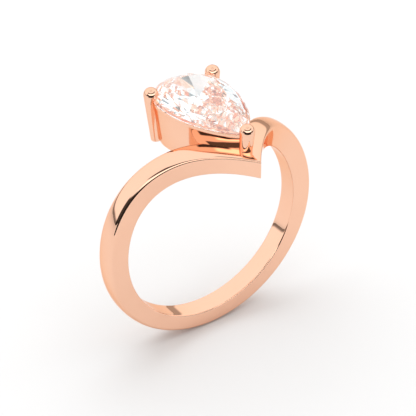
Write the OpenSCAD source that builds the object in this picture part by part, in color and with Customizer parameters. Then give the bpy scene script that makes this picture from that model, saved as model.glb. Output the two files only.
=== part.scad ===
// Chevron solitaire ring with a pear-cut stone in three claws.
// The origin is the middle of the finger hole. Y runs along the finger, with the
// point of the chevron at -Y, and Z runs up through the stone.

/* [Band] */
// Inside radius of the finger hole
finger_r = 8.25; // [7.8:0.05:8.6]
// Width of the band at the bottom
base_w = 1.82; // [1.6:0.02:2.2]
// Width of the band at the shoulders and along the arms
arm_w = 1.74; // [1.6:0.02:2.2]
// Thickness of the band at the bottom
base_t = 1.55; // [1.3:0.05:1.8]
// Thickness of the band at the shoulders
shoulder_t = 1.95; // [1.7:0.05:2.2]
// Thickness of the band at the point of the chevron
point_t = 1.66; // [1.4:0.05:1.9]
// Height of the rounded top above the flat sides
crown_rise = 0.34; // [0.2:0.02:0.5]

/* [Chevron] */
// How far the point reaches forward of the band's own front edge
point_reach = 6.3; // [5.8:0.1:6.8]
// Angle from the top at which the arms leave the plane of the band
arm_span = 82; // [76:1:90]

/* [Stone] */
// Width of the stone
stone_w = 6.48; // [6.2:0.02:6.8]
// Length of the stone
stone_l = 10.31; // [10:0.05:10.6]
// Place along the finger where the stone is widest
widest_y = 1.8; // [1.6:0.05:2]
// Height of the girdle above the middle of the finger hole
girdle_z = 11.28; // [11.1:0.02:11.5]
// Thickness of the girdle
girdle_t = 0.16; // [0.1:0.02:0.24]
// Height of the crown above the girdle
crown_h = 0.95; // [0.7:0.05:1.1]
// Depth of the pavilion below the girdle
pavilion_d = 2.55; // [2.2:0.05:2.8]
// Size of the table as a share of the girdle's outline
table_share = 0.58; // [0.5:0.01:0.65]

/* [Setting] */
// How far the seat rim stands outside the girdle
rim_lip = 0.06; // [0.04:0.02:0.12]
// Height of the seat rim
rim_h = 0.3; // [0.28:0.02:0.36]
// How far the collet's wall stands outside the girdle at its top. Below zero it stands inside
wall_top = -0.02; // [-0.06:0.02:0.02]
// How far the collet's wall has drawn in from there at its foot
wall_taper = 0.44; // [0.2:0.02:0.52]
// Thickness of the collet's wall
wall_t = 0.6; // [0.5:0.05:0.8]
// Depth of the grooves in the wall that the claws are let into
claw_groove = 0.21; // [0.18:0.01:0.23]

/* [Claws] */
// Radius of the rounded top of a claw
claw_r = 0.61; // [0.5:0.01:0.65]
// Radius of a claw at its foot
claw_foot_r = 0.47; // [0.4:0.01:0.55]
// Height of the middle of the rounded top
claw_z = 11.66; // [11.6:0.02:12]
// How far a claw's middle stands outside the girdle at its rounded top
claw_stand = 0.14; // [0:0.02:0.2]
// How far a claw leans in on its way down to its foot
claw_lean = 0.42; // [0.3:0.02:0.5]
// Angle of the two rear claws from the stone's widest line
claw_angle = 28; // [20:1:40]

/* [Hidden] */
rose_gold = [0.91, 0.67, 0.54];
clear_white = [0.93, 0.95, 0.97];

// The stone's outline is a half circle and two wings that meet at the point.
round_r = stone_w / 2;
wing_h = stone_l - round_r;
wing_r = (wing_h * wing_h + round_r * round_r) / (2 * round_r);
wing_x = wing_r - round_r;
outline_steps = 20;
// The stone is deepest a little in front of its widest line, over a tiny flat.
deep_back = 0.7;
deep_y = widest_y - deep_back;
culet_share = 0.02;

// Heights of the setting, from the middle of the finger hole.
seat_z = girdle_z - girdle_t / 2;
rim_grip = 0.04;
rim_top = seat_z + rim_grip;
rim_foot = rim_top - rim_h;
foot_spare = 0.3;
collet_foot = finger_r * cos(asin(round_r / finger_r)) - foot_spare;
claw_foot_z = 7.2;
// The point claw stands a little in front of the stone's point.
point_claw_gap = 0.11;
point_claw_y = widest_y - wing_h - point_claw_gap;
// The point claw's foot is cut off inside the arms by a block of this size.
foot_cut = 4;
// The setting's underside is hollowed to this radius, so that it lies along the finger.
saddle_gap = 0.18;
saddle_r = finger_r - saddle_gap;
saddle_steps = 120;
// Cutting shapes run this far past what they cut.
past = 0.01;
far_past = 30;

// The band is swept in steps of this many degrees.
sweep_step = 3;
crown_steps = 10;
crown_power = 2.3;
// Share of the crown's height that the point of the chevron has.
point_crown = 0.65;
// The band thickens over this angle from the top, and thins again over this angle
// from the bottom.
ease_in = 25;
ease_out = 130;
// The band widens from this angle down to the bottom.
widen_from = 70;
mm_per_degree = finger_r * PI / 180;
sweep_core_r = finger_r - 0.4;
// Below this angle from the top the arms have left the round part of the bore.
bore_angle = 45;

// Eases from 0 to 1 as x goes from 0 to 1.
function ease(x) = (1 - cos(180 * min(max(x, 0), 1))) / 2;

// Share of the arm that is left at angle a from the top.
function arm_left_over(a) = 1 - min(a, arm_span) / arm_span;

// Front edge of the band along Y at angle a from the top.
function front_y(a) = -base_w / 2 - point_reach * pow(arm_left_over(a), 3);

// Slope of the front edge against the arc length.
function slant(a) = 3 * point_reach * pow(arm_left_over(a), 2) / (arm_span * mm_per_degree);

// Width of the band, square to its own run.
function band_w(a) = arm_w + (base_w - arm_w) * ease((a - widen_from) / (180 - widen_from));

// Width of the band along Y, where the arms run at a slant.
function span_y(a) = band_w(a) * sqrt(1 + pow(slant(a), 2));

// Thickness of the band at angle a from the top.
function band_t(a) =
    a < ease_in
    ? point_t + (shoulder_t - point_t) * ease(a / ease_in)
    : base_t + (shoulder_t - base_t) * ease((180 - a) / ease_out);

// Height of the flat sides. The top is flatter at the point of the chevron.
function side_t(a) =
    band_t(a) - crown_rise * (point_crown + (1 - point_crown) * ease(a / ease_in));

// Height of the rounded top at s, which runs from -1 at the front to 1 at the rear.
function crown(s) = pow(1 - pow(abs(s), crown_power), 1 / crown_power);

// Points of the band's section at angle a, as pairs of Y and radius, down to radius r.
function section(a, r) = concat(
    [[front_y(a), r]],
    [for (i = [0:crown_steps])
        let (s = -cos(180 * i / crown_steps))
        [front_y(a) + span_y(a) * (1 + s) / 2,
         finger_r + side_t(a) + (band_t(a) - side_t(a)) * crown(s)]],
    [[front_y(a) + span_y(a), r]]
);

// A stretch of the right arm between two angles from the top, down to radius r.
module arm_sweep(from, to, r) {
    rings = (to - from) / sweep_step;
    count = crown_steps + 3;
    points = [for (k = [0:rings], q = section(from + k * sweep_step, r))
        let (a = from + k * sweep_step)
        [q[1] * sin(a), q[0], q[1] * cos(a)]];
    walls = [for (k = [0:rings - 1], i = [0:count - 1])
        let (
            j = (i + 1) % count,
            p = k * count + i,
            q = k * count + j
        )
        each [[p, q, q + count], [p, q + count, p + count]]];
    start_cap = [[for (i = [count - 1:-1:0]) i]];
    end_cap = [[for (i = [0:count - 1]) rings * count + i]];
    polyhedron(points, concat(walls, start_cap, end_cap), convexity = 6);
}

// The stretch of the right arm that rises to the point of the chevron.
module rising_arm(r) {
    arm_sweep(0, bore_angle, r);
}

// The right arm: its upper stretch, and the round stretch with the bore for the finger.
module shank_arm_right() {
    color(rose_gold)
        union() {
            rising_arm(finger_r);
            difference() {
                arm_sweep(bore_angle, 180, sweep_core_r);
                rotate([90, 0, 0])
                    cylinder(h = far_past, r = finger_r, center = true, $fn = 180);
            }
        }
}

// The left arm is the right one's mirror image.
module shank_arm_left() {
    mirror([1, 0, 0])
        shank_arm_right();
}

// Both rising arms, for cutting the pieces that stand on them.
module rising_arms() {
    rising_arm(sweep_core_r);
    mirror([1, 0, 0])
        rising_arm(sweep_core_r);
}

// The space under the setting that the finger takes.
module finger_saddle() {
    rotate([90, 0, 0])
        linear_extrude(far_past, center = true)
            polygon([for (i = [0:saddle_steps - 1])
                saddle_r * [cos(360 * i / saddle_steps), sin(360 * i / saddle_steps)]]);
}

// Outline of the stone, moved out by d.
function pear(d) =
    let (wing_angle = acos(wing_x / (wing_r + d)))
    concat(
        [for (i = [0:outline_steps])
            let (t = 180 * i / outline_steps)
            [(round_r + d) * cos(t), widest_y + (round_r + d) * sin(t)]],
        [for (i = [1:outline_steps])
            let (t = 180 + wing_angle * i / outline_steps)
            [wing_x + (wing_r + d) * cos(t), widest_y + (wing_r + d) * sin(t)]],
        [for (i = [outline_steps - 1:-1:1])
            let (t = 180 + wing_angle * i / outline_steps)
            [-wing_x - (wing_r + d) * cos(t), widest_y + (wing_r + d) * sin(t)]]
    );

// A solid that passes through pear outlines, from the lowest to the highest. A level is
// [height, outset, share], where share shrinks the outline towards the stone's deepest point.
module pear_loft(levels) {
    count = len(pear(0));
    points = [for (level = levels, q = pear(level[1]))
        [q[0] * level[2], deep_y + (q[1] - deep_y) * level[2], level[0]]];
    walls = [for (k = [0:len(levels) - 2], i = [0:count - 1])
        let (
            j = (i + 1) % count,
            p = k * count + i,
            q = k * count + j
        )
        each [[p, q + count, q], [p, p + count, q + count]]];
    low_cap = [[for (i = [0:count - 1]) i]];
    high_cap = [[for (i = [count - 1:-1:0]) (len(levels) - 1) * count + i]];
    polyhedron(points, concat(walls, low_cap, high_cap), convexity = 6);
}

// A pear-shaped solid between two heights, with its own outset at each.
module pear_solid(d_low, z_low, d_high, z_high) {
    pear_loft([[z_low, d_low, 1], [z_high, d_high, 1]]);
}

// The stone: pavilion, girdle, crown and table.
module pear_stone() {
    color(clear_white)
        pear_loft([
            [seat_z - pavilion_d, 0, culet_share],
            [seat_z, 0, 1],
            [seat_z + girdle_t, 0, 1],
            [seat_z + girdle_t + crown_h, 0, table_share]
        ]);
}

// The rim that the girdle rests in. It runs on inside behind the claws.
module seat_rim() {
    color(rose_gold)
        difference() {
            pear_solid(rim_lip, rim_foot, rim_lip, rim_top);
            pear_solid(-wall_t, rim_foot - 1, -wall_t, rim_top + 1);
            pear_stone();
            claws_outside();
        }
}

// The tapered wall under the rim, let down onto the arms and open below.
module collet() {
    color(rose_gold)
        difference() {
            pear_solid(wall_top - wall_taper, collet_foot, wall_top, rim_foot);
            pear_solid(wall_top - wall_taper - wall_t, collet_foot - past,
                       wall_top - wall_t, rim_foot + past);
            finger_saddle();
            claws_outside();
            rising_arms();
        }
}

// The space inside the wall that the claws stay out of.
module claw_limit() {
    inner = wall_top - claw_groove;
    pear_loft([
        [collet_foot - 1, inner - wall_taper, 1],
        [collet_foot, inner - wall_taper, 1],
        [rim_foot, inner, 1],
        [rim_top, inner, 1]
    ]);
}

// Middle of a claw's rounded top: side is -1 left, 1 right and 0 at the point.
function claw_top(side) =
    side == 0
    ? [0, point_claw_y, claw_z]
    : [side * (round_r + claw_stand) * cos(claw_angle),
       widest_y + (round_r + claw_stand) * sin(claw_angle), claw_z];

// Direction in which a claw leans on its way down.
function claw_in(side) =
    side == 0
    ? [0, 1, 0]
    : [-side * cos(claw_angle), -sin(claw_angle), 0];

// A plain claw with a round top, before it is notched for the stone.
module claw_post(side) {
    drop = claw_z - claw_foot_z;
    lean = claw_in(side) * claw_lean;
    tilt = atan(claw_lean / drop);
    heading = atan2(lean[1], lean[0]);
    translate(claw_top(side))
        rotate([0, 0, heading])
            rotate([0, 180 - tilt, 0])
                union() {
                    cylinder(h = norm([drop, claw_lean]), r1 = claw_r, r2 = claw_foot_r, $fn = 48);
                    sphere(r = claw_r, $fn = 48);
                }
}

// A claw let into a groove in the wall and notched for the stone.
module fitted_claw(side) {
    difference() {
        claw_post(side);
        claw_limit();
        pear_stone();
    }
}

// The parts of the claws that lie in the wall's grooves.
module claws_outside() {
    difference() {
        for (side = [-1, 0, 1])
            claw_post(side);
        claw_limit();
    }
}

// The left rear claw, cut to the finger at its foot.
module claw_left() {
    color(rose_gold)
        difference() {
            fitted_claw(-1);
            finger_saddle();
        }
}

// The right rear claw is the left one's mirror image.
module claw_right() {
    mirror([1, 0, 0])
        claw_left();
}

// The claw at the stone's point, which stands on the point of the chevron.
module claw_point() {
    color(rose_gold)
        difference() {
            fitted_claw(0);
            rising_arms();
            translate([0, point_claw_y, claw_foot_z])
                cube(foot_cut, center = true);
        }
}

shank_arm_left();
shank_arm_right();
collet();
seat_rim();
claw_left();
claw_right();
claw_point();
pear_stone();
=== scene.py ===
"""Looks of the chevron ring with a pear-cut stone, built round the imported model."""
import math
import bmesh
import bpy
import numpy as np
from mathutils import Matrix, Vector


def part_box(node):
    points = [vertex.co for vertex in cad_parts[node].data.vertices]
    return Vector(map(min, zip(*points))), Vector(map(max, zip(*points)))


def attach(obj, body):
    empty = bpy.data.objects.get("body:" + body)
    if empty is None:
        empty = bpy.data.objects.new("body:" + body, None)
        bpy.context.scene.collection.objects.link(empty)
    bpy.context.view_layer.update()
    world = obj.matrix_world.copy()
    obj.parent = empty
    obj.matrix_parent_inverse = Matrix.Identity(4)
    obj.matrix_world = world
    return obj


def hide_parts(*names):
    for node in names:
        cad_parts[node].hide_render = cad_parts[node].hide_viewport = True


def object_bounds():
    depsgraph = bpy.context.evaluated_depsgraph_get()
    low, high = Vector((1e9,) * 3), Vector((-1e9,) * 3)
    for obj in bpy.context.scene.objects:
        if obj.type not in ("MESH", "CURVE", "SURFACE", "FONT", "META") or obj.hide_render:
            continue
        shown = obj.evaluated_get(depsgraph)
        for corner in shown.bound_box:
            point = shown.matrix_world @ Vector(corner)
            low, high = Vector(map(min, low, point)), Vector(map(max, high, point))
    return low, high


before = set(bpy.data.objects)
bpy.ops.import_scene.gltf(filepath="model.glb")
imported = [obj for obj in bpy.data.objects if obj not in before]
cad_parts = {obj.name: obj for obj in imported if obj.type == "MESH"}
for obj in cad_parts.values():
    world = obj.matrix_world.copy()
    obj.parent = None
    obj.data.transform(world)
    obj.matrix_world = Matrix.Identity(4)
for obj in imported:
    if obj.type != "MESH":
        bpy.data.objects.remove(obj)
cad_low, cad_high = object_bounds()

# Lengths are in millimetres up to the point where a mesh is made.
MM = 0.001


def box_mm(node):
    """Lowest and highest corner of a CAD node, in millimetres."""
    low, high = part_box(node)
    return low / MM, high / MM


# ---------------------------------------------------------------- measures of the ring
arm_low = box_mm("shank_arm_right")[0]
stone_low, stone_high = box_mm("pear_stone")
rim_low, rim_high = box_mm("seat_rim")
claw_high = box_mm("claw_right")[1]

# The band: angles are in degrees from its top.
FINGER_R = 8.25
BASE_W = 1.82
ARM_W = 1.74
BASE_T = -arm_low.z - FINGER_R
SHOULDER_T = 1.95
POINT_T = 1.66
CROWN_RISE = 0.34
CROWN_POWER = 2.3
POINT_CROWN = 0.65
ARM_SPAN = 82
POINT_REACH = -arm_low.y - BASE_W / 2
EASE_IN = 25
EASE_OUT = 130
WIDEN_FROM = 70
MM_PER_DEGREE = FINGER_R * math.pi / 180
INNER_FILLET = 0.12

# The stone: its outline is a half circle and two long arcs that meet at the point.
ROUND_R = (stone_high.x - stone_low.x) / 2
WIDEST_Y = stone_high.y - ROUND_R
WING_H = WIDEST_Y - stone_low.y
WING_R = (WING_H ** 2 + ROUND_R ** 2) / (2 * ROUND_R)
WING_X = WING_R - ROUND_R
DEEP_BACK = 0.7
DEEP_Y = WIDEST_Y - DEEP_BACK
GIRDLE_T = 0.16
PAVILION_D = 2.55
TABLE_Z = stone_high.z
CULET_Z = stone_low.z
GIRDLE_LOW = CULET_Z + PAVILION_D
GIRDLE_TOP = GIRDLE_LOW + GIRDLE_T
TABLE_SHARE = 0.58

# The setting: outsets are measured from the stone's outline.
RIM_TOP = rim_high.z
RIM_FOOT = rim_low.z
RIM_LIP = rim_high.x - ROUND_R
WALL_TOP = -0.02
WALL_TAPER = 0.44
WALL_T = 0.6
FOOT_SPARE = 0.3
COLLET_FOOT = FINGER_R * math.cos(math.asin(ROUND_R / FINGER_R)) - FOOT_SPARE
SADDLE_GAP = 0.18
SADDLE_R = FINGER_R - SADDLE_GAP

# The claws, which run on a little way inside the wall.
CLAW_R = 0.61
CLAW_FOOT_R = 0.47
CLAW_Z = claw_high.z - CLAW_R
CLAW_FOOT_Z = 7.2
CLAW_STAND = 0.14
CLAW_LEAN = 0.42
CLAW_ANGLE = math.radians(28)
POINT_CLAW_GAP = 0.11
POINT_CLAW_Y = WIDEST_Y - WING_H - POINT_CLAW_GAP
REAR_CLAW_END = 7.48
POINT_CLAW_END = 9.0

# ---------------------------------------------------------------- the band's own shape


def ease(x):
    """Eases from 0 to 1 as x goes from 0 to 1."""
    return (1 - np.cos(np.pi * np.clip(x, 0, 1))) / 2


def arm_left_over(a):
    """Share of the arm's forward sweep that is left at angle a from the top."""
    return 1 - np.minimum(a, ARM_SPAN) / ARM_SPAN


def front_y(a):
    """Y of the band's front face."""
    return -BASE_W / 2 - POINT_REACH * arm_left_over(a) ** 3


def slant(a):
    """How steeply the front face runs forward along the band."""
    return 3 * POINT_REACH * arm_left_over(a) ** 2 / (ARM_SPAN * MM_PER_DEGREE)


def span_y(a):
    """Width of the band along Y, which grows with the slant."""
    width = ARM_W + (BASE_W - ARM_W) * ease((a - WIDEN_FROM) / (180 - WIDEN_FROM))
    return width * np.sqrt(1 + slant(a) ** 2)


def band_t(a):
    """Thickness of the band along its middle."""
    rising = POINT_T + (SHOULDER_T - POINT_T) * ease(a / EASE_IN)
    falling = BASE_T + (SHOULDER_T - BASE_T) * ease((180 - a) / EASE_OUT)
    return np.where(a < EASE_IN, rising, falling)


def side_t(a):
    """Thickness of the band along its sides, where the crown starts."""
    return band_t(a) - CROWN_RISE * (POINT_CROWN + (1 - POINT_CROWN) * ease(a / EASE_IN))


def crown(s):
    """Height of the crown over its width, as shares of both: s runs from -1 to 1."""
    return np.maximum(1 - np.abs(s) ** CROWN_POWER, 0) ** (1 / CROWN_POWER)


# ---------------------------------------------------------------- mesh helpers


def link_mesh(name, mesh):
    """Puts the mesh into the scene as an object of that name."""
    thing = bpy.data.objects.new(name, mesh)
    bpy.context.scene.collection.objects.link(thing)
    return thing


def new_piece(name, points, faces, material, nodes):
    """Makes a mesh piece from points in millimetres, which stands for its CAD nodes."""
    mesh = bpy.data.meshes.new(name)
    mesh.from_pydata((np.asarray(points) * MM).tolist(), [], faces)
    mesh.validate()
    mesh.update()
    piece = link_mesh(name, mesh)
    mesh.materials.append(material)
    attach(piece, "root")
    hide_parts(*nodes)
    return piece


def shade_smooth(piece, sharp_degrees):
    """Smooth shading, with edges sharper than the given angle kept crisp."""
    mesh = piece.data
    mesh.shade_smooth()
    mesh.set_sharp_from_angle(angle=math.radians(sharp_degrees))


def grid_faces(rings, count, closed_rings):
    """Quads over rings of count points each. Rings join up last to first when closed."""
    faces = []
    last = rings if closed_rings else rings - 1
    for k in range(last):
        low = k * count
        high = ((k + 1) % rings) * count
        for i in range(count):
            j = (i + 1) % count
            faces.append((low + i, low + j, high + j, high + i))
    return faces


# ---------------------------------------------------------------- shank arms
ARM_STEP = 1.0
NUDGE = 0.05
CROWN_STEPS = 40
SIDE_STEPS = 6
FILLET_STEPS = 5
INNER_STEPS = 6


def arm_section(a):
    """The section at angles a: arrays of Y and radius, points along the second axis."""
    a = np.asarray(a, float)[:, None]
    front = front_y(a)
    width = span_y(a)
    side_top = FINGER_R + side_t(a)
    rise = band_t(a) - side_t(a)
    turn = np.linspace(0, np.pi / 2, FILLET_STEPS)
    # the fillet runs from the inner face to the side face
    fillet_in = INNER_FILLET * (1 - np.sin(turn))[None, :]
    fillet_up = INNER_FILLET * (1 - np.cos(turn))[None, :]
    wide = width / ARM_W
    up = np.linspace(0, 1, SIDE_STEPS + 1)[None, 1:-1]
    s = -np.cos(np.linspace(0, np.pi, CROWN_STEPS + 1))[None, :]
    across = np.linspace(0, 1, INNER_STEPS + 1)[None, 1:-1]
    foot = FINGER_R + INNER_FILLET
    y = [
        front + fillet_in * wide,
        front + 0 * up,
        front + width * (1 + s) / 2,
        front + width + 0 * up,
        front + width - fillet_in[:, ::-1] * wide,
        front + width - INNER_FILLET * wide - (width - 2 * INNER_FILLET * wide) * across,
    ]
    r = [
        FINGER_R + fillet_up + 0 * a,
        foot + (side_top - foot) * up,
        side_top + rise * crown(s),
        side_top + (foot - side_top) * up,
        FINGER_R + fillet_up[:, ::-1] + 0 * a,
        FINGER_R + 0 * across + 0 * a,
    ]
    return np.concatenate(y, 1), np.concatenate(r, 1)


def arm_points(a):
    """Points of the right arm at angles a from the top."""
    y, r = arm_section(a)
    turn = np.radians(np.asarray(a, float))[:, None]
    return np.stack([r * np.sin(turn), y, r * np.cos(turn)], 2)


def arm_piece(name, side, node, material):
    """One arm, with the exact normals of its surface so that the butt joint doesn't show."""
    angles = np.arange(0, 180 + ARM_STEP / 2, ARM_STEP)
    points = arm_points(angles)
    along = arm_points(angles + NUDGE) - arm_points(angles - NUDGE)
    around = np.roll(points, -1, 1) - np.roll(points, 1, 1)
    normals = np.cross(along, around)
    normals /= np.linalg.norm(normals, axis=2, keepdims=True)
    rings, count = points.shape[:2]
    mirror = np.array([side, 1, 1])
    points = points.reshape(-1, 3) * mirror
    normals = normals.reshape(-1, 3) * mirror
    faces = grid_faces(rings, count, False)
    faces.append(tuple(range(count - 1, -1, -1)))
    faces.append(tuple((rings - 1) * count + i for i in range(count)))
    if side > 0:
        faces = [tuple(reversed(f)) for f in faces]
    piece = new_piece(name, points, faces, material, [node])
    mesh = piece.data
    mesh.shade_smooth()
    loop_normals = np.zeros((len(mesh.loops), 3))
    for polygon in mesh.polygons:
        flat = len(polygon.vertices) > 4
        for loop in polygon.loop_indices:
            vertex = mesh.loops[loop].vertex_index
            loop_normals[loop] = polygon.normal if flat else normals[vertex]
    mesh.normals_split_custom_set(loop_normals.tolist())
    return piece


# ---------------------------------------------------------------- pear outlines
HEAD_STEPS = 96
WING_STEPS = 96


def pear_outline(outset):
    """The stone's outline moved out by outset, counter-clockwise from +X, as an array of X and Y."""
    head = np.linspace(0, np.pi, HEAD_STEPS + 1)
    reach = math.acos(WING_X / (WING_R + outset))
    wing = np.linspace(0, reach, WING_STEPS + 1)[1:]
    head_xy = np.stack([(ROUND_R + outset) * np.cos(head),
                        WIDEST_Y + (ROUND_R + outset) * np.sin(head)], 1)
    left_xy = np.stack([WING_X - (WING_R + outset) * np.cos(wing),
                        WIDEST_Y - (WING_R + outset) * np.sin(wing)], 1)
    right_xy = left_xy[:-1][::-1] * [-1, 1]
    return np.concatenate([head_xy, left_xy, right_xy], 0)


def pear_tube(name, section, node, material, sharp_degrees):
    """A closed tube round the pear. The section is pairs of height and outset; a height may be
    an array with one value per point of the outline."""
    rings = []
    for z, outset in section:
        xy = pear_outline(outset)
        height = z(xy, outset) if callable(z) else np.full(len(xy), z)
        rings.append(np.column_stack([xy, height]))
    count = len(rings[0])
    faces = grid_faces(len(rings), count, True)
    piece = new_piece(name, np.concatenate(rings, 0), faces, material, [node])
    shade_smooth(piece, sharp_degrees)
    return piece


def wall_outset(z):
    """How far the collet's wall stands outside the girdle at height z."""
    return WALL_TOP - WALL_TAPER * (RIM_FOOT - z) / (RIM_FOOT - COLLET_FOOT)


ARM_MARGIN = 0.06
FOOT_LIFT = 0.25


def on_arms(xy):
    """True where a point of the collet lies well inside one of the rising arms."""
    a = np.degrees(np.arcsin(np.clip(np.abs(xy[:, 0]) / FINGER_R, 0, 1)))
    front = front_y(a) + ARM_MARGIN
    rear = front_y(a) + span_y(a) - ARM_MARGIN
    return (xy[:, 1] > front) & (xy[:, 1] < rear)


def foot_height(lift):
    """A height that follows the finger under the setting, and the inside of the arms over them."""
    def height(xy, outset):
        radius = np.where(on_arms(xy), FINGER_R + FOOT_LIFT, SADDLE_R) + lift
        return np.sqrt(radius ** 2 - xy[:, 0] ** 2)
    return height


def collet_piece(material):
    """The tapered wall under the rim. Its foot has small bevels and sinks into the arms."""
    bevel = 0.05
    wall_start = 8.9
    foot_out = wall_outset(SADDLE_R - FOOT_SPARE)
    section = [
        (foot_height(bevel), foot_out),
        (foot_height(bevel * 0.3), foot_out - bevel * 0.3),
        (foot_height(0), foot_out - bevel),
        (foot_height(0), foot_out - WALL_T / 2),
        (foot_height(0), foot_out - WALL_T + bevel),
        (foot_height(bevel), foot_out - WALL_T),
    ]
    levels = np.linspace(wall_start, RIM_FOOT, 8)
    section += [(z, wall_outset(z) - WALL_T) for z in levels]
    section.append((RIM_FOOT + 0.02, WALL_TOP - WALL_T / 2))
    section += [(z, wall_outset(z)) for z in levels[::-1]]
    return pear_tube("polished_collet", section, "collet", material, 40)


def rim_piece(material):
    """The rim: a rounded lip outside, and inside a slope that the stone rests on."""
    bevel = 0.04
    under = 0.07
    gap = 0.012
    seat = 0.28
    inner = -0.32
    turn = np.linspace(0, np.pi / 2, 6)
    section = [(RIM_FOOT, inner), (RIM_FOOT, RIM_LIP - under)]
    section += [(RIM_FOOT + under * (1 - math.cos(t)), RIM_LIP - under * (1 - math.sin(t)))
                for t in turn[1:]]
    section += [(RIM_TOP - bevel * (1 - math.sin(t)), RIM_LIP - bevel * (1 - math.cos(t)))
                for t in turn]
    slope = (GIRDLE_LOW - CULET_Z) / ROUND_R
    section += [
        (RIM_TOP - bevel / 5, gap),
        (GIRDLE_LOW - 0.01, gap),
        (GIRDLE_LOW - seat * slope, -seat),
    ]
    return pear_tube("seat_rim_polished", section, "seat_rim", material, 35)


# ---------------------------------------------------------------- claws
CLAW_SIDES = 64


def claw_top(side):
    """Middle of a claw's round top: side is -1 left, 1 right and 0 at the stone's point."""
    if side == 0:
        return Vector((0, POINT_CLAW_Y, CLAW_Z))
    out = ROUND_R + CLAW_STAND
    return Vector((side * out * math.cos(CLAW_ANGLE),
                   WIDEST_Y + out * math.sin(CLAW_ANGLE), CLAW_Z))


def claw_lean(side):
    """How a claw has moved in by the time it reaches its foot."""
    if side == 0:
        return Vector((0, 1, 0)) * CLAW_LEAN
    return Vector((-side * math.cos(CLAW_ANGLE), -math.sin(CLAW_ANGLE), 0)) * CLAW_LEAN


def claw_profile(length):
    """Pairs of radius and distance from the round top's middle, from the tip to the foot."""
    pairs = [(CLAW_R * math.sin(t), -CLAW_R * math.cos(t))
             for t in np.linspace(0, np.pi / 2, 17)[1:]]
    bevel = 0.06
    stretch = np.linspace(0, 1, 13)[1:]
    pairs += [(CLAW_R + (CLAW_FOOT_R - CLAW_R) * u, (length - bevel) * u) for u in stretch]
    pairs += [(CLAW_FOOT_R - bevel * (1 - math.cos(t)), length - bevel * (1 - math.sin(t)))
              for t in np.linspace(0, np.pi / 2, 5)[1:]]
    return pairs


def claw_piece(name, side, node, material, cutter, foot_z):
    """A claw turned on its own axis down to foot_z, with a notch cut for the stone."""
    top = claw_top(side)
    drop = CLAW_Z - CLAW_FOOT_Z
    down = (claw_lean(side) - Vector((0, 0, drop))).normalized()
    length = (CLAW_Z - foot_z) / -down.z
    across = down.orthogonal().normalized()
    beside = down.cross(across)
    pairs = claw_profile(length)
    points = [top - down * CLAW_R]
    for radius, along in pairs:
        for k in range(CLAW_SIDES):
            t = 2 * math.pi * k / CLAW_SIDES
            points.append(top + down * along + (across * math.cos(t) + beside * math.sin(t)) * radius)
    faces = [(0, 1 + (k + 1) % CLAW_SIDES, 1 + k) for k in range(CLAW_SIDES)]
    for f in grid_faces(len(pairs), CLAW_SIDES, False):
        faces.append(tuple(i + 1 for i in f))
    last = 1 + (len(pairs) - 1) * CLAW_SIDES
    faces.append(tuple(last + k for k in range(CLAW_SIDES)))
    piece = new_piece(name, [tuple(p) for p in points], faces, material, [node])
    face_outward(piece)
    cut(piece, cutter)
    shade_smooth(piece, 35)
    return piece


def face_outward(piece):
    """Turns all of the piece's faces outward."""
    bm = bmesh.new()
    bm.from_mesh(piece.data)
    bmesh.ops.recalc_face_normals(bm, faces=bm.faces)
    bm.to_mesh(piece.data)
    bm.free()


def cut(piece, cutter):
    """Takes the cutter's solid out of the piece."""
    modifier = piece.modifiers.new("notch", "BOOLEAN")
    modifier.operation = "DIFFERENCE"
    modifier.solver = "EXACT"
    modifier.object = cutter
    bpy.context.view_layer.update()
    graph = bpy.context.evaluated_depsgraph_get()
    made = bpy.data.meshes.new_from_object(piece.evaluated_get(graph), depsgraph=graph)
    piece.modifiers.clear()
    made.name = piece.name
    piece.data = made


# ---------------------------------------------------------------- the stone
# Directions of the eight main facets round the outline, in degrees of the outline's own normal.
# The one at 270 lies at the stone's point, where each long side has turned by TIP_TURN.
WING_TURN = 25
MAIN_TURNS = [0, 45, 90, 135, 180, 180 + WING_TURN, 270, 360 - WING_TURN]
TIP_TURN = math.degrees(math.acos(WING_X / WING_R))
STAR_DROP = 0.33
LOWER_LENGTH = 0.78


def girdle_point(turn):
    """Point of the girdle's outline whose normal has this direction, and that normal."""
    t = math.radians(turn)
    normal = Vector((math.cos(t), math.sin(t), 0))
    if turn == 270:
        return Vector((0, WIDEST_Y - WING_H, 0)), normal
    if turn <= 180:
        return Vector((0, WIDEST_Y, 0)) + normal * ROUND_R, normal
    side = -1 if turn < 270 else 1
    return Vector((-side * WING_X, WIDEST_Y, 0)) + normal * WING_R, normal


def half_turn(k):
    """Direction of the girdle point midway between main facet k and the next."""
    turn = MAIN_TURNS[k]
    if turn == 180 + WING_TURN:
        return (turn + 180 + TIP_TURN) / 2
    if turn == 270:
        return 360 - (WING_TURN + TIP_TURN) / 2
    following = 360 if turn == MAIN_TURNS[-1] else MAIN_TURNS[k + 1]
    return (turn + following) / 2


def at(point, z):
    """The point moved to height z."""
    return Vector((point.x, point.y, z))


def plane_through(a, b, c):
    """A plane as point and outward normal. Outward is away from the stone's middle."""
    normal = (b - a).cross(c - a).normalized()
    middle = Vector((0, DEEP_Y, (GIRDLE_TOP + GIRDLE_LOW) / 2))
    if normal.dot(middle - a) > 0:
        normal = -normal
    return a, normal


def sloped_plane(point, normal, rise, run):
    """The plane through a girdle point that rises by rise over run towards the middle."""
    return point, (normal * abs(rise) + Vector((0, 0, run * (1 if rise > 0 else -1)))).normalized()


def meet(plane_a, plane_b, z):
    """Where two planes meet at height z."""
    rows, values = [], []
    for point, normal in (plane_a, plane_b):
        rows.append([normal.x, normal.y])
        values.append(normal.dot(point) - normal.z * z)
    x, y = np.linalg.solve(np.array(rows), np.array(values))
    return Vector((x, y, z))


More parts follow.
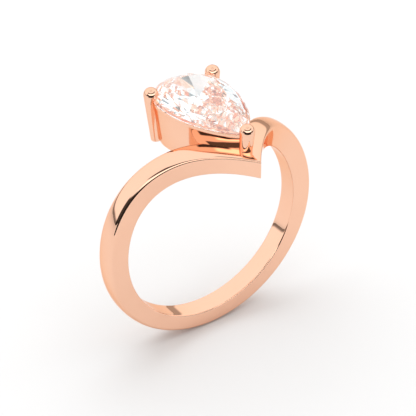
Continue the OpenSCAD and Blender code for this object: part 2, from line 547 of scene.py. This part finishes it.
def stone_planes():
    """The planes of the facets above and below the girdle."""
    deep = Vector((0, DEEP_Y, 0))
    count = len(MAIN_TURNS)
    planes = []
    halves = [girdle_point(half_turn(k))[0] for k in range(count)]
    spots = [girdle_point(turn) for turn in MAIN_TURNS]
    for level, far, share, tip in (
        (GIRDLE_TOP, TABLE_Z, TABLE_SHARE, TABLE_Z - STAR_DROP * (TABLE_Z - GIRDLE_TOP)),
        (GIRDLE_LOW, CULET_Z, 0, GIRDLE_LOW - LOWER_LENGTH * (GIRDLE_LOW - CULET_Z)),
    ):
        mains = []
        inner = []
        for spot, normal in spots:
            near = deep + (spot - deep) * share
            run = normal.dot(spot - near)
            mains.append(sloped_plane(at(spot, level), normal, far - level, run))
            inner.append(at(near, far))
        planes += mains
        tips = [meet(mains[k], mains[(k + 1) % count], tip) for k in range(count)]
        for k in range(count):
            here = at(spots[k][0], level)
            following = at(spots[(k + 1) % count][0], level)
            half = at(halves[k], level)
            planes.append(plane_through(here, half, tips[k]))
            planes.append(plane_through(half, following, tips[k]))
            if share:
                planes.append(plane_through(inner[k], inner[(k + 1) % count], tips[k]))
    return planes


def stone_mesh():
    """The stone as a bmesh: a prism over the outline, cut by every facet's plane."""
    xy = pear_outline(0)
    bm = bmesh.new()
    low = [bm.verts.new((x, y, CULET_Z)) for x, y in xy]
    high = [bm.verts.new((x, y, TABLE_Z)) for x, y in xy]
    bm.faces.new(low[::-1])
    bm.faces.new(high)
    for k in range(len(xy)):
        j = (k + 1) % len(xy)
        bm.faces.new((low[k], low[j], high[j], high[k]))
    for point, normal in stone_planes():
        whole = bm.verts[:] + bm.edges[:] + bm.faces[:]
        result = bmesh.ops.bisect_plane(bm, geom=whole, dist=1e-5, plane_co=point,
                                        plane_no=normal, clear_outer=True)
        rim = [e for e in result["geom_cut"] if isinstance(e, bmesh.types.BMEdge)]
        if rim:
            bmesh.ops.contextual_create(bm, geom=rim)
    bmesh.ops.remove_doubles(bm, verts=bm.verts, dist=2e-4)
    bmesh.ops.dissolve_degenerate(bm, edges=bm.edges, dist=2e-4)
    bmesh.ops.recalc_face_normals(bm, faces=bm.faces)
    return bm


def fill_with_stone(mesh):
    """Fills an empty mesh with the stone, in metres."""
    bm = stone_mesh()
    bmesh.ops.scale(bm, vec=(MM, MM, MM), verts=bm.verts)
    bm.to_mesh(mesh)
    bm.free()


def stone_piece(material):
    """The faceted stone."""
    piece = new_piece("pear_brilliant", [], [], material, ["pear_stone"])
    fill_with_stone(piece.data)
    return piece


def notch_cutter():
    """The stone once more, for cutting the claws' notches."""
    mesh = bpy.data.meshes.new("notch_cutter")
    fill_with_stone(mesh)
    return link_mesh("notch_cutter", mesh)


# ---------------------------------------------------------------- materials


def node_tree(material):
    """Turns on the material's nodes and returns its nodes and links."""
    material.use_nodes = True
    return material.node_tree.nodes, material.node_tree.links


def noise_node(nodes, links, coordinates, scale, detail):
    """Soft procedural noise over the piece."""
    noise = nodes.new("ShaderNodeTexNoise")
    noise.inputs["Scale"].default_value = scale
    noise.inputs["Detail"].default_value = detail
    links.new(coordinates, noise.inputs["Vector"])
    return noise.outputs["Fac"]


def ramp_node(nodes, links, value, low, high):
    """A change of colour from low to high over the middle of the value's range."""
    ramp = nodes.new("ShaderNodeValToRGB")
    ramp.color_ramp.elements[0].position = 0.35
    ramp.color_ramp.elements[0].color = low
    ramp.color_ramp.elements[1].position = 0.65
    ramp.color_ramp.elements[1].color = high
    links.new(value, ramp.inputs["Fac"])
    return ramp.outputs["Color"]


def gold_material():
    """Rose gold with a high polish: faint clouding of its colour and hairline marks."""
    material = bpy.data.materials.new("rose_gold_polish")
    nodes, links = node_tree(material)
    shader = nodes["Principled BSDF"]
    shader.inputs["Metallic"].default_value = 1.0
    shader.inputs["Specular Tint"].default_value = (0.96, 0.72, 0.57, 1)
    place = nodes.new("ShaderNodeTexCoord").outputs["Object"]
    cloud = noise_node(nodes, links, place, scale=450, detail=3)
    colour = ramp_node(nodes, links, cloud, (0.945, 0.572, 0.406, 1), (0.955, 0.585, 0.418, 1))
    links.new(colour, shader.inputs["Base Color"])
    fine = noise_node(nodes, links, place, scale=2600, detail=4)
    polish = nodes.new("ShaderNodeMapRange")
    polish.inputs["To Min"].default_value = 0.015
    polish.inputs["To Max"].default_value = 0.05
    links.new(fine, polish.inputs["Value"])
    links.new(polish.outputs["Result"], shader.inputs["Roughness"])
    return material


def stone_material():
    """A clear, strongly bending stone with a cool tint, and painted light: a faint cool glow that
    whitens it and offsets the pink of the gold seen through it.
    """
    material = bpy.data.materials.new("clear_brilliant")
    nodes, links = node_tree(material)
    shader = nodes["Principled BSDF"]
    shader.inputs["Transmission Weight"].default_value = 1.0
    shader.inputs["IOR"].default_value = 2.42
    place = nodes.new("ShaderNodeTexCoord").outputs["Object"]
    cloud = noise_node(nodes, links, place, scale=300, detail=2)
    colour = ramp_node(nodes, links, cloud, (0.93, 0.98, 1.0, 1), (0.955, 0.988, 1.0, 1))
    links.new(colour, shader.inputs["Base Color"])
    shader.inputs["Roughness"].default_value = 0.0
    # Painted light: a faint cool glow over the whole stone, which whitens it and offsets the pink of
    # the gold seen through it.
    shader.inputs["Emission Color"].default_value = (0.55, 0.9, 1.0, 1)
    shader.inputs["Emission Strength"].default_value = 0.032
    return material


# ---------------------------------------------------------------- stage
VIEW_AZIMUTH = math.radians(-35.56)
VIEW_ELEVATION = math.radians(34.77)
VIEW_DISTANCE = 166.2
VIEW_RIGHT = 0.106
VIEW_UP = 1.209
LENS = 175.8


def add_camera():
    """The photo's point of view."""
    a, e = VIEW_AZIMUTH, VIEW_ELEVATION
    right = Vector((math.cos(a), math.sin(a), 0))
    back = Vector((math.sin(a) * math.cos(e), -math.cos(a) * math.cos(e), math.sin(e)))
    up = back.cross(right)
    data = bpy.data.cameras.new("camera")
    data.lens = LENS
    data.sensor_width = 36
    data.clip_start = 0.005
    data.clip_end = 10
    camera = bpy.data.objects.new("camera", data)
    camera.location = (right * VIEW_RIGHT + up * VIEW_UP + back * VIEW_DISTANCE) * MM
    camera.rotation_mode = "QUATERNION"
    camera.rotation_quaternion = (-back).to_track_quat("-Z", "Y")
    bpy.context.scene.collection.objects.link(camera)
    bpy.context.scene.camera = camera


def add_floor():
    """A plain pale floor that the ring stands on."""
    size = 1.5
    clearance = 0.00002
    z = cad_low.z - clearance
    mesh = bpy.data.meshes.new("floor")
    corners = [(-size, -size, z), (size, -size, z), (size, size, z), (-size, size, z)]
    mesh.from_pydata(corners, [], [(0, 1, 2, 3)])
    floor = link_mesh("floor", mesh)
    material = bpy.data.materials.new("pale_floor")
    nodes, links = node_tree(material)
    shader = nodes["Principled BSDF"]
    shader.inputs["Roughness"].default_value = 1.0
    shader.inputs["Specular IOR Level"].default_value = 0.0
    shader.inputs["Base Color"].default_value = (0.72, 0.72, 0.72, 1)
    mesh.materials.append(material)


def world_math(nodes, links, operation, first, second=None):
    """A math node over one or two values, each a number or another node's output."""
    node = nodes.new("ShaderNodeMath")
    node.operation = operation
    for socket, value in zip(node.inputs, (first, second)):
        if value is None:
            continue
        if isinstance(value, (int, float)):
            socket.default_value = value
        else:
            links.new(value, socket)
    return node.outputs[0]


def smooth_step(nodes, links, value, start, end):
    """0 below start and 1 above end, with a smooth change between them."""
    node = nodes.new("ShaderNodeMapRange")
    node.interpolation_type = "SMOOTHSTEP"
    node.inputs["From Min"].default_value = start
    node.inputs["From Max"].default_value = end
    links.new(value, node.inputs["Value"])
    return node.outputs["Result"]


def band_mask(nodes, links, value, start, end, soft):
    """1 between start and end and 0 outside, with soft edges."""
    rise = smooth_step(nodes, links, value, start - soft, start)
    fall = smooth_step(nodes, links, value, end, end + soft)
    return world_math(nodes, links, "SUBTRACT", rise, fall)


def add_world():
    """A bright studio all round, with a long window in a dark frame at the front."""
    world = bpy.data.worlds.new("studio")
    bpy.context.scene.world = world
    world.use_nodes = True
    nodes, links = world.node_tree.nodes, world.node_tree.links
    background = nodes["Background"]
    background.inputs["Color"].default_value = (1, 1, 1, 1)
    direction = nodes.new("ShaderNodeTexCoord").outputs["Generated"]
    split = nodes.new("ShaderNodeSeparateXYZ")
    links.new(direction, split.inputs[0])
    x, y, z = split.outputs

    def calc(operation, first, second=None):
        return world_math(nodes, links, operation, first, second)

    elevation = calc("MULTIPLY", calc("ARCSINE", z), 180 / math.pi)
    azimuth = calc("MULTIPLY", calc("ARCTAN2", x, calc("MULTIPLY", y, -1)), 180 / math.pi)

    def patch(from_a, to_a, soft_a, from_e, to_e, soft_e):
        """1 inside a patch of the studio, given by azimuth and elevation in degrees."""
        across = band_mask(nodes, links, azimuth, from_a, to_a, soft_a)
        upward = band_mask(nodes, links, elevation, from_e, to_e, soft_e)
        return calc("MULTIPLY", across, upward)

    window = patch(-75, 25, 8, 21, 30, 3)
    light = calc("ADD", 1.18, calc("MULTIPLY", window, 1.2))
    # Each dark patch with the share of the light that it takes away.
    frame_left = (patch(-100, -64, 6, -6, 20, 4), 0.95)
    frame_below = (patch(-64, 48, 8, -6, 13, 3), 0.95)
    frame_above = (patch(-100, 60, 6, 38, 48, 2), 0.9)
    shade_right = (patch(56, 80, 8, -6, 8, 4), 0.4)
    skirting_left = (patch(-170, -90, 8, -6, 1.5, 3), 0.8)
    skirting_right = (patch(85, 150, 8, -6, 7, 4), 0.6)
    ceiling_seam = (patch(-181, 181, 1, 75.5, 78, 1.5), 0.65)
    for mask, depth in (frame_left, frame_below, frame_above, shade_right,
                        skirting_left, skirting_right, ceiling_seam):
        light = calc("MULTIPLY", light, calc("SUBTRACT", 1, calc("MULTIPLY", mask, depth)))
    links.new(light, background.inputs["Strength"])


def add_dark_card():
    """A dark card that stands well in front of the ring and shows only in its reflections."""
    distance, half_angle, turn = 60, 45, math.radians(-30)
    z_low, z_high = cad_low.z / MM, 19
    width = distance * math.tan(math.radians(half_angle))
    ahead = Vector((math.sin(turn), -math.cos(turn), 0)) * distance
    beside = Vector((math.cos(turn), math.sin(turn), 0)) * width
    rise = Vector((0, 0, 1))
    corners = [ahead - beside + rise * z_low, ahead + beside + rise * z_low,
               ahead + beside + rise * z_high, ahead - beside + rise * z_high]
    mesh = bpy.data.meshes.new("dark_card")
    mesh.from_pydata([tuple(c * MM) for c in corners], [], [(0, 1, 2, 3)])
    card = link_mesh("dark_card", mesh)
    material = bpy.data.materials.new("dark_card")
    shader = node_tree(material)[0]["Principled BSDF"]
    shader.inputs["Base Color"].default_value = (0.02, 0.02, 0.02, 1)
    shader.inputs["Roughness"].default_value = 1.0
    shader.inputs["Specular IOR Level"].default_value = 0.0
    mesh.materials.append(material)
    card.visible_camera = False
    card.visible_diffuse = False
    card.visible_shadow = False
    card.visible_transmission = False


def add_key_light():
    """A soft overhead light for the floor's shadow. Mirrors don't show it."""
    data = bpy.data.lights.new("overhead", "AREA")
    data.shape = "DISK"
    data.size = 0.3
    data.energy = 0.28
    light = bpy.data.objects.new("overhead", data)
    light.location = (0.015, 0.04, 0.22)
    light.rotation_mode = "QUATERNION"
    light.rotation_quaternion = (-light.location).to_track_quat("-Z", "Y")
    light.visible_glossy = False
    light.visible_transmission = False
    bpy.context.scene.collection.objects.link(light)


def set_view():
    """Plain colours, and enough bounces for light to find its way out of the stone."""
    paths = bpy.context.scene.cycles
    paths.max_bounces = 32
    paths.glossy_bounces = 32
    paths.transmission_bounces = 32
    view = bpy.context.scene.view_settings
    view.view_transform = "Standard"
    view.look = "None"
    view.exposure = 0.0
    view.gamma = 1.0


# ---------------------------------------------------------------- the ring
gold = gold_material()
clear = stone_material()
arm_piece("polished_arm_left", -1, "shank_arm_left", gold)
arm_piece("polished_arm_right", 1, "shank_arm_right", gold)
collet_piece(gold)
rim_piece(gold)
cutter = notch_cutter()
claw_piece("rear_claw_left", -1, "claw_left", gold, cutter, REAR_CLAW_END)
claw_piece("rear_claw_right", 1, "claw_right", gold, cutter, REAR_CLAW_END)
claw_piece("point_claw_polished", 0, "claw_point", gold, cutter, POINT_CLAW_END)
bpy.data.objects.remove(cutter)
stone_piece(clear)

add_camera()
add_floor()
add_world()
add_dark_card()
add_key_light()
set_view()
